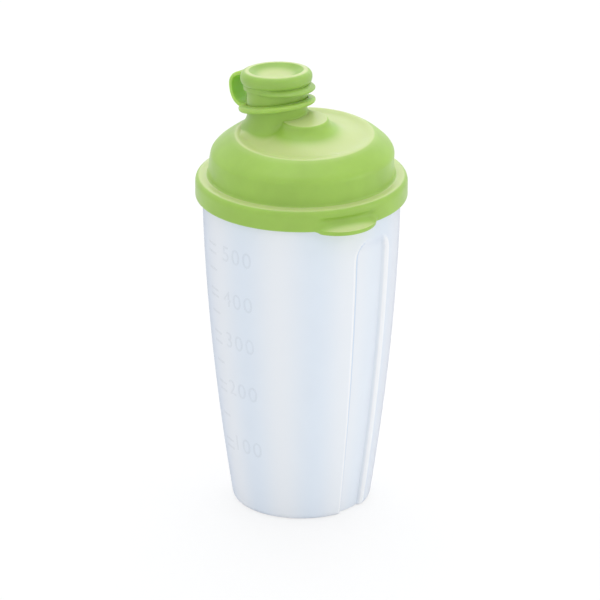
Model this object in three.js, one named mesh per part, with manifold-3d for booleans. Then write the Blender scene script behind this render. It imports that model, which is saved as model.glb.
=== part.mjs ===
import * as THREE from "three";
import { mergeVertices } from "three/addons/utils/BufferGeometryUtils.js";
import Module from "manifold-3d";

const wasm = await Module();
wasm.setup();

// Shaker cup, lengths in millimetres, +Z up, origin under the centre of the foot.
// The spout stands off centre towards +Y, the grips face -Y and +Y, the scale side faces -X.

// Fits between neighbouring pieces
const SLIDE_FIT = 0.4;
const REST_FIT = 0.35;
const STRAP_FIT = 0.3;

// Cup
const CUP_HEIGHT = 148.5;
const FOOT_RADIUS = 30;
const MOUTH_RADIUS = 42.9;
const BELLY_POWER = 1.76;
const CUP_WALL = 1.5;
const FOOT_ROUNDING = 2.6;
const FLOOR_THICKNESS = 2;
const BEAD_REACH = 1;
const BEAD_DEPTH = 2.4;

// Grips pressed into both sides of the cup
const GRIP_DEPTH = 2.3;
const GRIP_HALF_ANGLE = 11.5;
const GRIP_EDGE_ANGLE = 3;
const GRIP_BELOW_RIM = 22.5;
const GRIP_FADE = 7;

// Lid
const LID_WALL = 1.6;
const SKIRT_DEPTH = 7.5;
const LEDGE_ROUNDING = 3;
const DOME_INSET = 0.7;
const DOME_DRAFT = 0.6;
const SHOULDER_RISE = 9.2;
const SHOULDER_ROUNDING = 2;
const CREST_RISE = 17.7;
const CREST_RADIUS = 28.8;
const CREST_SHIFT = 1.5;
const BOSS_RISE = 25.2;
const BOSS_RADIUS = 10;
const TAB_TURN = -21.5;
const TAB_REACH = 5.8;
const TAB_DROP = 0.8;
const TAB_RADIUS = 17;
const TAB_THICKNESS = 2;

// Spout on the lid
const SPOUT_OFFSET = 14.3;
const SPOUT_LEAN = 4.7;
const LEAN_TURN = -31;
const NECK_RADIUS = 13.05;
const NECK_WALL = 1.75;
const NECK_ABOVE_RING = 10.4;
const NECK_FLARE = 3;
const NECK_FLARE_HEIGHT = 6.5;

// Tether of the spout cap
const TETHER_TURN = 0;
const RING_ABOVE_BOSS = 3.3;
const RING_TILT = 8;
const RING_HEIGHT = 3.2;
const RING_WIDTH = 3.1;
const RING_EDGE = 1.4;
const STRAP_WIDTH = 11.5;
const STRAP_THICKNESS = 1.7;
const STRAP_BULGE = 6.1;
const STRAP_PEAK = 0.68;

// Spout cap
const CAP_RADIUS = 15.6;
const CAP_HEIGHT = 5.6;
const CAP_DISH = 3.4;
const CAP_SKIRT_WALL = 0.9;
const CAP_SKIRT_DEPTH = 3;
const PLUG_DEPTH = 2;
const PLUG_TAPER = 0.65;
const LIFT_REACH = 3.2;
const LIFT_DROOP = 4;
const LIFT_THICKNESS = 1.5;

// Mixing sieve inside the lid
const SIEVE_HEIGHT = 7;
const SIEVE_WALL = 1.3;
const SIEVE_FLOOR = 1.5;
const SIEVE_HOLE_RADIUS = 2.6;
const SIEVE_RINGS = 3;

// Sizes that follow from the ones above
const BEAD_RADIUS = MOUTH_RADIUS + BEAD_REACH;
const GRIP_TOP = CUP_HEIGHT - GRIP_BELOW_RIM;
const SKIRT_INNER = BEAD_RADIUS + SLIDE_FIT;
const SKIRT_RADIUS = SKIRT_INNER + LID_WALL;
const SKIRT_BOTTOM = CUP_HEIGHT - SKIRT_DEPTH;
const LEDGE_UNDERSIDE = CUP_HEIGHT + REST_FIT;
const LEDGE_TOP = LEDGE_UNDERSIDE + LID_WALL;
const PLUG_WALL_RADIUS = MOUTH_RADIUS - CUP_WALL - SLIDE_FIT;
const PLUG_WALL_INNER = PLUG_WALL_RADIUS - LID_WALL;
const DOME_RADIUS = PLUG_WALL_RADIUS - DOME_INSET;
const BOSS_TOP = LEDGE_TOP + BOSS_RISE;
const RING_LEVEL = BOSS_TOP + RING_ABOVE_BOSS;
const BORE_RADIUS = NECK_RADIUS - NECK_WALL;
const CAP_SEAT = NECK_ABOVE_RING + REST_FIT;
const CAP_SKIRT_INNER = NECK_RADIUS + SLIDE_FIT;
const CAP_SKIRT_RADIUS = CAP_SKIRT_INNER + CAP_SKIRT_WALL;
const CAP_SKIRT_BOTTOM = NECK_ABOVE_RING - CAP_SKIRT_DEPTH;
const CAP_RIM_BOTTOM = CAP_SEAT - 1.1;
const CAP_TOP = CAP_RIM_BOTTOM + CAP_HEIGHT;

const CUP_SEGMENTS = 72;
const LID_SEGMENTS = 48;
const SPOUT_SEGMENTS = 36;

const radians = THREE.MathUtils.degToRad;

/** Joins equal corners and turns the surface outward. */
function weld(geometry) {
  const bare = geometry.clone();
  bare.deleteAttribute("normal");
  bare.deleteAttribute("uv");
  const welded = mergeVertices(bare, 1e-4);
  const place = welded.attributes.position;
  const index = welded.index.array;
  const a = new THREE.Vector3();
  const b = new THREE.Vector3();
  const c = new THREE.Vector3();
  let volume = 0;
  for (let i = 0; i < index.length; i += 3) {
    a.fromBufferAttribute(place, index[i]);
    b.fromBufferAttribute(place, index[i + 1]);
    c.fromBufferAttribute(place, index[i + 2]);
    volume += a.dot(b.cross(c));
  }
  if (volume < 0) {
    for (let i = 0; i < index.length; i += 3) {
      [index[i], index[i + 1]] = [index[i + 1], index[i]];
    }
  }
  return welded;
}

/** Closed solid that can be joined or cut. */
function solid(geometry) {
  const welded = weld(geometry);
  const vertProperties = new Float32Array(welded.attributes.position.array);
  const triVerts = new Uint32Array(welded.index.array);
  return new wasm.Manifold(new wasm.Mesh({ numProp: 3, vertProperties, triVerts }));
}

/** Surface of a joined or cut solid. */
function surface(body) {
  const mesh = body.getMesh();
  const geometry = new THREE.BufferGeometry();
  geometry.setAttribute("position", new THREE.BufferAttribute(new Float32Array(mesh.vertProperties), 3));
  geometry.setIndex(new THREE.BufferAttribute(new Uint32Array(mesh.triVerts), 1));
  return geometry;
}

/** Turns an outline of radius and height about the Z axis. */
function revolve(outline, segments) {
  return new THREE.LatheGeometry(outline, segments).rotateX(Math.PI / 2);
}

/** Upright cylinder between two heights. */
function drum(radius, bottom, top, segments) {
  const geometry = new THREE.CylinderGeometry(radius, radius, top - bottom, segments);
  return geometry.rotateX(Math.PI / 2).translate(0, 0, (bottom + top) / 2);
}

/** Outline from a drawn path, without repeated points. */
function outlineOf(path, divisions) {
  const points = path.getPoints(divisions);
  return points.filter((point, i) => i === 0 || point.distanceTo(points[i - 1]) > 1e-3);
}

/** Corners of a regular polygon that stands for a circle. */
function roundPoints(x, y, radius, count) {
  const points = [];
  for (let i = 0; i < count; i += 1) {
    const angle = (i / count) * Math.PI * 2;
    points.push(new THREE.Vector2(x + radius * Math.cos(angle), y + radius * Math.sin(angle)));
  }
  return points;
}

/** Outer radius of the cup wall at a height. */
function cupRadius(height) {
  const climb = 1 - (1 - Math.min(height / CUP_HEIGHT, 1)) ** BELLY_POWER;
  return FOOT_RADIUS + (MOUTH_RADIUS - FOOT_RADIUS) * climb;
}

/** Depth of the grips at a height and an angle from -Y. */
function gripDepth(angle, height) {
  const turn = Math.abs(Math.asin(Math.sin(angle)));
  const start = radians(GRIP_HALF_ANGLE);
  const across = 1 - THREE.MathUtils.smoothstep(turn, start, start + radians(GRIP_EDGE_ANGLE));
  const along = 1 - THREE.MathUtils.smoothstep(height, GRIP_TOP, GRIP_TOP + GRIP_FADE);
  return GRIP_DEPTH * across * along;
}

/** Translucent cup with a flat foot, two grips and a rim bead. */
function makeCup() {
  const wallHeights = [0.06, 0.19, 0.33, 0.48, 0.62, 0.76, 0.89, 1].map((part) => part * GRIP_TOP);
  wallHeights.push(GRIP_TOP + GRIP_FADE);
  const underBead = CUP_HEIGHT - BEAD_DEPTH;
  const footOuter = FOOT_RADIUS - FOOT_ROUNDING * 0.8;
  const outline = [
    new THREE.Vector2(0, 0),
    new THREE.Vector2(footOuter, 0),
    new THREE.Vector2(FOOT_RADIUS - FOOT_ROUNDING * 0.25, FOOT_ROUNDING * 0.35),
    new THREE.Vector2(cupRadius(FOOT_ROUNDING), FOOT_ROUNDING),
  ];
  for (const height of wallHeights) {
    outline.push(new THREE.Vector2(cupRadius(height), height));
  }
  outline.push(new THREE.Vector2(cupRadius(underBead - BEAD_REACH), underBead - BEAD_REACH));
  outline.push(new THREE.Vector2(BEAD_RADIUS, underBead));
  outline.push(new THREE.Vector2(BEAD_RADIUS, CUP_HEIGHT - 0.6));
  outline.push(new THREE.Vector2(BEAD_RADIUS - 0.6, CUP_HEIGHT));
  outline.push(new THREE.Vector2(MOUTH_RADIUS - CUP_WALL + 0.3, CUP_HEIGHT));
  outline.push(new THREE.Vector2(MOUTH_RADIUS - CUP_WALL, CUP_HEIGHT - 0.6));
  for (const height of wallHeights.filter((_, i) => i % 2 === 0 || i > 6).toReversed()) {
    outline.push(new THREE.Vector2(cupRadius(height) - CUP_WALL, height));
  }
  outline.push(new THREE.Vector2(footOuter - CUP_WALL - 2, FLOOR_THICKNESS));
  outline.push(new THREE.Vector2(0, FLOOR_THICKNESS));

  const geometry = revolve(outline, CUP_SEGMENTS);
  const place = geometry.attributes.position;
  for (let i = 0; i < place.count; i += 1) {
    const x = place.getX(i);
    const y = place.getY(i);
    const height = place.getZ(i);
    const radius = Math.hypot(x, y);
    const angle = Math.atan2(x, -y);
    const wall = radius > cupRadius(height) - CUP_WALL / 2 ? 0 : CUP_WALL;
    const limit = cupRadius(height) - wall - gripDepth(angle, height);
    if (radius > limit && height < CUP_HEIGHT - BEAD_DEPTH - BEAD_REACH) {
      place.setX(i, (x * limit) / radius);
      place.setY(i, (y * limit) / radius);
    }
  }
  return weld(geometry);
}

/** Adds the dome line from the boss to the wall, moved inward by an inset. */
function drawDome(path, inset) {
  const boss = BOSS_TOP - inset;
  const crest = LEDGE_TOP + CREST_RISE - inset;
  const shoulder = LEDGE_TOP + SHOULDER_RISE - inset * 0.4;
  const crestRadius = CREST_RADIUS - inset * 0.4;
  const wall = DOME_RADIUS - inset - DOME_DRAFT;
  path.moveTo(0, boss);
  path.lineTo(BOSS_RADIUS - 1, boss);
  path.quadraticCurveTo(BOSS_RADIUS, boss, BOSS_RADIUS + 0.7, boss - 0.6);
  const hollow = crest - 0.5;
  path.bezierCurveTo(BOSS_RADIUS + 4.5, boss - 4.4, crestRadius - 10, hollow, crestRadius - 4, hollow);
  path.quadraticCurveTo(crestRadius - 1, crest, crestRadius + 0.6, crest);
  const slopeStart = crestRadius + SHOULDER_ROUNDING * 1.8;
  path.quadraticCurveTo(crestRadius + SHOULDER_ROUNDING, crest, slopeStart, crest - 1.1);
  path.lineTo(wall - SHOULDER_ROUNDING, shoulder + SHOULDER_ROUNDING * 1.6);
  path.quadraticCurveTo(wall, shoulder + SHOULDER_ROUNDING * 0.7, wall, shoulder);
}

/** Moves the top of the dome away from the spout, as its crest stands off centre. */
function shiftCrest(geometry) {
  const place = geometry.attributes.position;
  for (let i = 0; i < place.count; i += 1) {
    const rise = place.getZ(i) - LEDGE_TOP;
    const part = THREE.MathUtils.smoothstep(rise, SHOULDER_RISE * 0.5, CREST_RISE);
    place.setY(i, place.getY(i) - CREST_SHIFT * part);
  }
  return geometry;
}

/** Outline of the whole lid shell, from the boss over the skirt to the inside. */
function lidOutline() {
  const outside = new THREE.Path();
  drawDome(outside, 0);
  outside.lineTo(DOME_RADIUS, LEDGE_TOP + 1.2);
  outside.quadraticCurveTo(DOME_RADIUS, LEDGE_TOP, DOME_RADIUS + 1.2, LEDGE_TOP);
  outside.lineTo(SKIRT_RADIUS - LEDGE_ROUNDING, LEDGE_TOP);
  outside.quadraticCurveTo(SKIRT_RADIUS, LEDGE_TOP, SKIRT_RADIUS, LEDGE_TOP - LEDGE_ROUNDING);
  outside.lineTo(SKIRT_RADIUS, SKIRT_BOTTOM + 1.4);
  outside.quadraticCurveTo(SKIRT_RADIUS, SKIRT_BOTTOM, SKIRT_RADIUS - 1.2, SKIRT_BOTTOM);

  const under = [
    new THREE.Vector2(SKIRT_INNER, SKIRT_BOTTOM),
    new THREE.Vector2(SKIRT_INNER, LEDGE_UNDERSIDE),
    new THREE.Vector2(PLUG_WALL_RADIUS, LEDGE_UNDERSIDE),
    new THREE.Vector2(PLUG_WALL_RADIUS, SKIRT_BOTTOM + 1),
    new THREE.Vector2(PLUG_WALL_RADIUS - 0.5, SKIRT_BOTTOM),
    new THREE.Vector2(PLUG_WALL_INNER, SKIRT_BOTTOM),
    new THREE.Vector2(PLUG_WALL_INNER, LEDGE_UNDERSIDE),
  ];
  const inside = new THREE.Path();
  drawDome(inside, LID_WALL);
  return [...outlineOf(outside, 4), ...under, ...outlineOf(inside, 3).toReversed()];
}

/** Room under the dome, used to trim what would hang into it. */
function domeRoom(inset) {
  const inside = new THREE.Path();
  drawDome(inside, inset);
  inside.lineTo(DOME_RADIUS - inset, SKIRT_BOTTOM - 1);
  inside.lineTo(0, SKIRT_BOTTOM - 1);
  return solid(shiftCrest(revolve(outlineOf(inside, 3), LID_SEGMENTS)));
}

/** Frame of the spout: its own Z runs up the neck from the level of the ring. */
function spoutFrame(turn) {
  const frame = new THREE.Matrix4().makeTranslation(0, SPOUT_OFFSET, RING_LEVEL);
  frame.multiply(new THREE.Matrix4().makeRotationZ(radians(LEAN_TURN)));
  frame.multiply(new THREE.Matrix4().makeRotationX(-radians(SPOUT_LEAN)));
  return frame.multiply(new THREE.Matrix4().makeRotationZ(radians(turn - LEAN_TURN)));
}

/** Green lid: skirt with thumb tab, dome, boss and the flared foot of the spout. */
function makeLid() {
  const shell = solid(shiftCrest(revolve(lidOutline(), LID_SEGMENTS)));
  const footTop = -REST_FIT / 2;
  const flareTop = -RING_ABOVE_BOSS + 0.4;
  const flareFoot = flareTop - NECK_FLARE_HEIGHT;
  const footLine = new THREE.Path();
  footLine.moveTo(0, flareFoot);
  footLine.lineTo(NECK_RADIUS + NECK_FLARE, flareFoot);
  footLine.quadraticCurveTo(NECK_RADIUS, flareTop - NECK_FLARE_HEIGHT * 0.6, NECK_RADIUS, flareTop);
  footLine.lineTo(NECK_RADIUS, footTop);
  footLine.lineTo(0, footTop);
  const footShape = revolve(outlineOf(footLine, 4), SPOUT_SEGMENTS);
  const boreShape = drum(BORE_RADIUS, flareFoot - 20, NECK_ABOVE_RING, SPOUT_SEGMENTS);
  const foot = solid(footShape.applyMatrix4(spoutFrame(0))).subtract(domeRoom(LID_WALL / 2));
  const bore = solid(boreShape.applyMatrix4(spoutFrame(0)));

  const tabCentre = SKIRT_RADIUS + TAB_REACH - TAB_RADIUS;
  const tabBottom = SKIRT_BOTTOM - TAB_DROP;
  const tabTop = tabBottom + TAB_THICKNESS;
  const tabShape = drum(TAB_RADIUS, tabBottom, tabTop, LID_SEGMENTS);
  tabShape.translate(0, -tabCentre, 0).rotateZ(radians(TAB_TURN));
  const skirtRoom = drum(SKIRT_INNER + LID_WALL / 2, tabBottom - 1, tabTop + 1, LID_SEGMENTS);
  const tab = solid(tabShape).subtract(solid(skirtRoom));
  return surface(shell.add(foot).add(tab).subtract(bore));
}

/** Pouring neck that stands on its foot behind the ring. */
function makeNeck() {
  const bottom = REST_FIT / 2;
  const edge = 0.4;
  const outline = [
    new THREE.Vector2(BORE_RADIUS, bottom),
    new THREE.Vector2(NECK_RADIUS, bottom),
    new THREE.Vector2(NECK_RADIUS, NECK_ABOVE_RING - edge),
    new THREE.Vector2(NECK_RADIUS - edge, NECK_ABOVE_RING),
    new THREE.Vector2(BORE_RADIUS + edge, NECK_ABOVE_RING),
    new THREE.Vector2(BORE_RADIUS, NECK_ABOVE_RING - edge),
    new THREE.Vector2(BORE_RADIUS, bottom),
  ];
  return weld(revolve(outline, SPOUT_SEGMENTS).applyMatrix4(spoutFrame(0)));
}

/** Perforated cup-shaped insert that sits inside the plug wall of the lid. */
function makeSieve() {
  const radius = PLUG_WALL_INNER - REST_FIT;
  const collarOutline = [
    new THREE.Vector2(radius - SIEVE_WALL, 0),
    new THREE.Vector2(radius, 0),
    new THREE.Vector2(radius, SIEVE_HEIGHT),
    new THREE.Vector2(radius - SIEVE_WALL, SIEVE_HEIGHT),
    new THREE.Vector2(radius - SIEVE_WALL, 0),
  ];
  const disc = new THREE.Shape(roundPoints(0, 0, radius - SIEVE_WALL / 2, LID_SEGMENTS));
  const pitch = (radius - SIEVE_WALL) / (SIEVE_RINGS + 0.5);
  for (let ring = 1; ring <= SIEVE_RINGS; ring += 1) {
    const count = ring * 6;
    for (let i = 0; i < count; i += 1) {
      const angle = (i / count) * Math.PI * 2;
      const x = Math.cos(angle) * ring * pitch;
      const y = Math.sin(angle) * ring * pitch;
      disc.holes.push(new THREE.Path(roundPoints(x, y, SIEVE_HOLE_RADIUS, 6)));
    }
  }
  const plate = new THREE.ExtrudeGeometry(disc, { depth: SIEVE_FLOOR, bevelEnabled: false });
  const collar = solid(revolve(collarOutline, LID_SEGMENTS));
  return surface(collar.add(solid(plate))).translate(0, 0, SKIRT_BOTTOM + 0.5);
}

/** Loose ring round the neck, hanging low on the side of the strap. */
function makeRing() {
  const half = RING_HEIGHT / 2;
  const inner = NECK_RADIUS + REST_FIT;
  const outer = inner + RING_WIDTH;
  const edge = RING_EDGE / 2;
  const outline = [
    new THREE.Vector2(inner, -half),
    new THREE.Vector2(inner + RING_WIDTH * 0.4, -half),
    new THREE.Vector2(outer, -edge),
    new THREE.Vector2(outer, edge),
    new THREE.Vector2(inner + RING_WIDTH * 0.4, half),
    new THREE.Vector2(inner, half),
    new THREE.Vector2(inner, -half),
  ];
  const hang = new THREE.Matrix4().makeShear(0, 0, 0, -Math.tan(radians(RING_TILT)), 0, 0);
  const geometry = revolve(outline, SPOUT_SEGMENTS).applyMatrix4(hang);
  return { geometry: weld(geometry.applyMatrix4(spoutFrame(TETHER_TURN))), outer };
}

/** Flexible band that loops from the ring up to the cap. */
function makeStrap(ringOuter) {
  const low = -ringOuter * Math.tan(radians(RING_TILT));
  const high = CAP_RIM_BOTTOM + CAP_HEIGHT * 0.45;
  const ringEnd = ringOuter + STRAP_FIT;
  const capEnd = CAP_RADIUS + STRAP_FIT;
  const peak = low + (high - low) * STRAP_PEAK;
  const bulge = Math.max(ringEnd, capEnd) + STRAP_BULGE;
  const half = STRAP_THICKNESS / 2;
  const inside = bulge - STRAP_THICKNESS;
  const below = (peak - low) * 0.55;
  const above = (high - peak) * 0.55;
  const band = new THREE.Shape();
  band.moveTo(ringEnd, low - half);
  band.bezierCurveTo(bulge - 1, low - half, bulge, peak - below, bulge, peak);
  band.bezierCurveTo(bulge, peak + above, bulge - 1, high + half, capEnd, high + half);
  band.lineTo(capEnd, high - half);
  band.bezierCurveTo(inside - 1, high - half, inside, peak + above * 0.8, inside, peak);
  band.bezierCurveTo(inside, peak - below, inside - 1, low + half, ringEnd, low + half);
  const extent = { depth: STRAP_WIDTH, bevelEnabled: false, curveSegments: 8 };
  const geometry = new THREE.ExtrudeGeometry(band, extent);
  geometry.translate(0, 0, -STRAP_WIDTH / 2);
  geometry.rotateX(Math.PI / 2).rotateZ(Math.PI / 2);
  return weld(geometry.applyMatrix4(spoutFrame(TETHER_TURN)));
}

/** Push-on cap with a dished top, a tapered plug and a lifting edge away from the strap. */
function makeCap() {
  const rim = CAP_RADIUS;
  const path = new THREE.Path();
  path.moveTo(0, CAP_TOP - CAP_DISH);
  path.quadraticCurveTo(rim * 0.66, CAP_TOP - CAP_DISH, rim * 0.84, CAP_TOP - 0.5);
  path.quadraticCurveTo(rim * 0.9, CAP_TOP + 0.2, rim * 0.95, CAP_TOP - 0.5);
  path.quadraticCurveTo(rim, CAP_TOP - 1.2, rim, CAP_TOP - 2.4);
  path.lineTo(rim, CAP_RIM_BOTTOM + 2.2);
  path.quadraticCurveTo(rim, CAP_RIM_BOTTOM, CAP_SKIRT_RADIUS, CAP_RIM_BOTTOM);
  const plugTop = BORE_RADIUS - REST_FIT;
  const plugTip = plugTop - PLUG_TAPER;
  const under = [
    new THREE.Vector2(CAP_SKIRT_RADIUS, CAP_SKIRT_BOTTOM),
    new THREE.Vector2(CAP_SKIRT_INNER, CAP_SKIRT_BOTTOM),
    new THREE.Vector2(CAP_SKIRT_INNER, CAP_SEAT),
    new THREE.Vector2(plugTop, CAP_SEAT),
    new THREE.Vector2(plugTip, CAP_SEAT - PLUG_DEPTH),
    new THREE.Vector2(plugTip - 1.2, CAP_SEAT - PLUG_DEPTH),
    new THREE.Vector2(plugTip - 1, CAP_SEAT + 0.3),
    new THREE.Vector2(0, CAP_SEAT + 0.3),
  ];
  const body = solid(revolve([...outlineOf(path, 4), ...under], SPOUT_SEGMENTS));

  const liftTop = CAP_SKIRT_BOTTOM + LIFT_THICKNESS;
  const liftDisc = drum(CAP_SKIRT_RADIUS, CAP_SKIRT_BOTTOM, liftTop, SPOUT_SEGMENTS);
  liftDisc.translate(0, -LIFT_REACH, -liftTop).rotateX(radians(LIFT_DROOP)).translate(0, 0, liftTop);
  const neckRadius = CAP_SKIRT_INNER + CAP_SKIRT_WALL / 2;
  const neckRoom = drum(neckRadius, CAP_SKIRT_BOTTOM - 3, liftTop + 3, SPOUT_SEGMENTS);
  const lift = solid(liftDisc).subtract(solid(neckRoom));
  return surface(body.add(lift)).applyMatrix4(spoutFrame(TETHER_TURN));
}

/** Named piece with its own material. */
function piece(name, geometry, color, roughness) {
  const material = new THREE.MeshStandardMaterial({ color, roughness, metalness: 0 });
  const mesh = new THREE.Mesh(geometry, material);
  mesh.name = name;
  return mesh;
}

const LID_GREEN = 0x8cbf3f;
const TETHER_GREEN = 0x7fb82e;
const CLEAR_WHITE = 0xe6ecf2;

const ring = makeRing();
const shaker = new THREE.Group();
shaker.name = "shaker_cup";
shaker.add(
  piece("cup", makeCup(), CLEAR_WHITE, 0.35),
  piece("lid", makeLid(), LID_GREEN, 0.42),
  piece("spout_neck", makeNeck(), LID_GREEN, 0.42),
  piece("mixing_sieve", makeSieve(), LID_GREEN, 0.45),
  piece("tether_ring", ring.geometry, TETHER_GREEN, 0.45),
  piece("tether_strap", makeStrap(ring.outer), TETHER_GREEN, 0.45),
  piece("spout_cap", makeCap(), LID_GREEN, 0.42),
);

export default shaker;
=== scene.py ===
import math

import bpy
from mathutils import Matrix, Vector
from mathutils.geometry import interpolate_bezier


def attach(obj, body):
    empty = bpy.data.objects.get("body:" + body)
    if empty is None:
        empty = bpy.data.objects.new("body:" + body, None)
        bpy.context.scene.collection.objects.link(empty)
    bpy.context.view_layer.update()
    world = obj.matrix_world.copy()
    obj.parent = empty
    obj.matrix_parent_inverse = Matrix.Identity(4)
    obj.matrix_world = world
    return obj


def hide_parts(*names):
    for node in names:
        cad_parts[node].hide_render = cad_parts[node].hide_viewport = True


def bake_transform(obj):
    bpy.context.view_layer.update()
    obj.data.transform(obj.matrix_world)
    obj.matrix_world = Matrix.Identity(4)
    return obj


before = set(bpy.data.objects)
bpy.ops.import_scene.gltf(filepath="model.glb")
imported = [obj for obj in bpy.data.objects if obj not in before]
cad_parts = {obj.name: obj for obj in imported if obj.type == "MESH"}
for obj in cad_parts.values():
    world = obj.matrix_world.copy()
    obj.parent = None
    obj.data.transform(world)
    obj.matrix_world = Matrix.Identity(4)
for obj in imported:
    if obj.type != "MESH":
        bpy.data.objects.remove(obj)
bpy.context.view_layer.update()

bl_info = {
    "name": "Shaker Cup",
    "version": (1, 0, 0),
    "blender": (4, 5, 0),
    "location": "View3D > Sidebar > Shaker",
    "description": "Models a translucent shaker cup with a green lid and a tethered spout cap",
    "category": "Object",
}

MM = 0.001


def length(label, about, default):
    """Length property in metres, given in millimetres."""
    return bpy.props.FloatProperty(
        name=label, description=about, default=default * MM, precision=5, unit="LENGTH")


def turn(label, about, default):
    """Angle property, given in degrees."""
    return bpy.props.FloatProperty(
        name=label, description=about, default=math.radians(default), subtype="ANGLE")


def colour(label, about, default):
    """Colour property in linear red, green and blue."""
    return bpy.props.FloatVectorProperty(
        name=label, description=about, default=default, size=3, min=0, max=1, subtype="COLOR")


class CupSizes(bpy.types.PropertyGroup):
    """Sizes of the cup and its scale."""
    height: length("Height", "Height of the cup without its lid", 148.5)
    foot: length("Foot radius", "Radius of the wall at the foot", 30)
    mouth: length("Mouth radius", "Radius of the wall at the mouth", 42.9)
    belly: bpy.props.FloatProperty(
        name="Belly", description="How early the wall widens on its way up", default=1.76)
    wall: length("Wall", "Thickness of the wall", 1.5)
    floor: length("Floor", "Thickness of the floor", 2)
    foot_round: length("Foot rounding", "Rounding between foot and wall", 2.6)
    bead: length("Bead", "How far the rim bead stands out", 1)
    grip_depth: length("Grip depth", "Depth of the grips", 2.3)
    grip_half: turn("Grip half angle", "Half the angle that a grip's floor takes up", 11.8)
    grip_edge: turn("Grip edge", "Angle that a grip's side wall takes up", 2.4)
    grip_top: length("Grip top", "Height at which the grips end", 126)
    grip_fade: length("Grip fade", "Height over which the grips run out", 7)
    relief: length("Scale relief", "How far the scale stands out of the wall", 0.06)
    digit: length("Digit height", "Height of the scale's numbers", 7.2)
    scale_turn: turn("Scale turn", "Where the numbers stand round the cup", -89)
    mark_turn: turn("Mark turn", "Where the marks stand round the cup", -112)


class LidSizes(bpy.types.PropertyGroup):
    """Sizes of the lid."""
    wall: length("Wall", "Thickness of the lid", 1.6)
    skirt_inner: length("Skirt inside", "Inner radius of the skirt", 44.3)
    skirt_bottom: length("Skirt bottom", "Height of the skirt's lower edge", 141)
    ledge: length("Ledge", "Height of the ledge round the dome", 150.45)
    ledge_round: length("Ledge rounding", "Rounding between ledge and skirt", 3)
    plug: length("Plug radius", "Outer radius of the wall that reaches into the cup", 41)
    dome: length("Dome radius", "Radius of the dome where it stands on the ledge", 40.3)
    draft: length("Draft", "How far the dome's wall leans in", 0.6)
    shoulder: length("Shoulder", "Height of the shoulder above the ledge", 9.2)
    crest: length("Crest", "Height of the crest above the ledge", 17.7)
    crest_radius: length("Crest radius", "Radius of the crest", 28.8)
    crest_turn: turn("Crest turn", "Direction in which the crest rises", 132.5)
    crest_tilt: turn("Crest tilt", "How far the plane of the crest rises", 1.9)
    crest_lift: length("Crest lift", "How much higher the middle of the tilted crest stands", 0.9)
    crest_shift: length("Crest shift", "How far the crest stands off centre, across its rise", 1.3)
    boss: length("Boss", "Height of the boss above the ledge", 24.5)
    boss_radius: length("Boss radius", "Radius of the flat on the boss", 10)
    tab_turn: turn("Tab turn", "Where the thumb tab stands", -21.5)
    tab_reach: length("Tab reach", "How far the thumb tab stands out", 5.8)
    tab_radius: length("Tab radius", "Radius of the thumb tab's edge", 17)
    tab_drop: length("Tab drop", "How far the thumb tab hangs below the skirt", 0.8)
    tab_edge: length("Tab edge", "Thickness of the thumb tab", 2)
    tab_scoop: length("Tab scoop", "Height of the scoop above the thumb tab", 4.2)
    tab_dent: length("Tab dent", "Depth of the scoop above the thumb tab", 1.1)


class SpoutSizes(bpy.types.PropertyGroup):
    """Sizes of the spout, its cap and the tether."""
    offset: length("Offset", "Distance of the spout from the lid's middle", 14.3)
    lean: turn("Lean", "How far the spout leans", 4.7)
    lean_turn: turn("Lean turn", "Direction in which the spout leans", -31)
    level: length("Ring level", "Height of the tether ring", 178.95)
    neck: length("Neck radius", "Outer radius of the neck", 13.05)
    bore: length("Bore radius", "Radius of the bore", 11.3)
    neck_top: length("Neck top", "Height of the neck above the ring", 10.4)
    fillet: length("Fillet", "Height of the rounding between the neck and the dome", 6.5)
    apron: length("Apron", "How far the rounding runs out on the dome", 8)
    tether_turn: turn("Tether turn", "Direction of the strap", 0)
    ring_inner: length("Ring inside", "Inner radius of the tether ring", 13.2)
    ring_width: length("Ring width", "Width of the tether ring", 3.5)
    ring_height: length("Ring height", "Height of the tether ring", 3.3)
    ring_tilt: turn("Ring tilt", "How far the loose ring hangs down at the strap", 8)
    strap_width: length("Strap width", "Width of the strap", 11.5)
    strap_thickness: length("Strap thickness", "Thickness of the strap", 1.7)
    strap_bulge: length("Strap bulge", "How far the strap bows out", 6.1)
    strap_peak: bpy.props.FloatProperty(
        name="Strap peak", description="How far up the strap it bows out most", default=0.6)
    cap: length("Cap radius", "Outer radius of the spout cap", 15.6)
    cap_bottom: length("Cap bottom", "Height of the cap's rim above the ring", 9.65)
    cap_height: length("Cap height", "Height of the cap's rim", 5.65)
    cap_dish: length("Cap dish", "Depth of the hollow in the cap", 3.5)
    skirt: length("Cap skirt", "Outer radius of the cap's skirt", 14.35)
    skirt_bottom: length("Cap skirt bottom", "Height of the cap's skirt above the ring", 7.4)
    lift: length("Lifting edge", "How far the lifting edge stands out", 3.2)
    lift_edge: length("Lifting edge thickness", "Thickness of the lifting edge", 0.9)


class SieveSizes(bpy.types.PropertyGroup):
    """Sizes of the mixing sieve."""
    radius: length("Radius", "Outer radius of the sieve", 39.05)
    bottom: length("Bottom", "Height of the sieve's lower face", 141.5)
    height: length("Height", "Height of the sieve's collar", 7)
    wall: length("Wall", "Thickness of the collar", 1.3)
    floor: length("Floor", "Thickness of the perforated plate", 1.5)
    hole: length("Hole radius", "Radius of the holes", 2.6)


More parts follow.
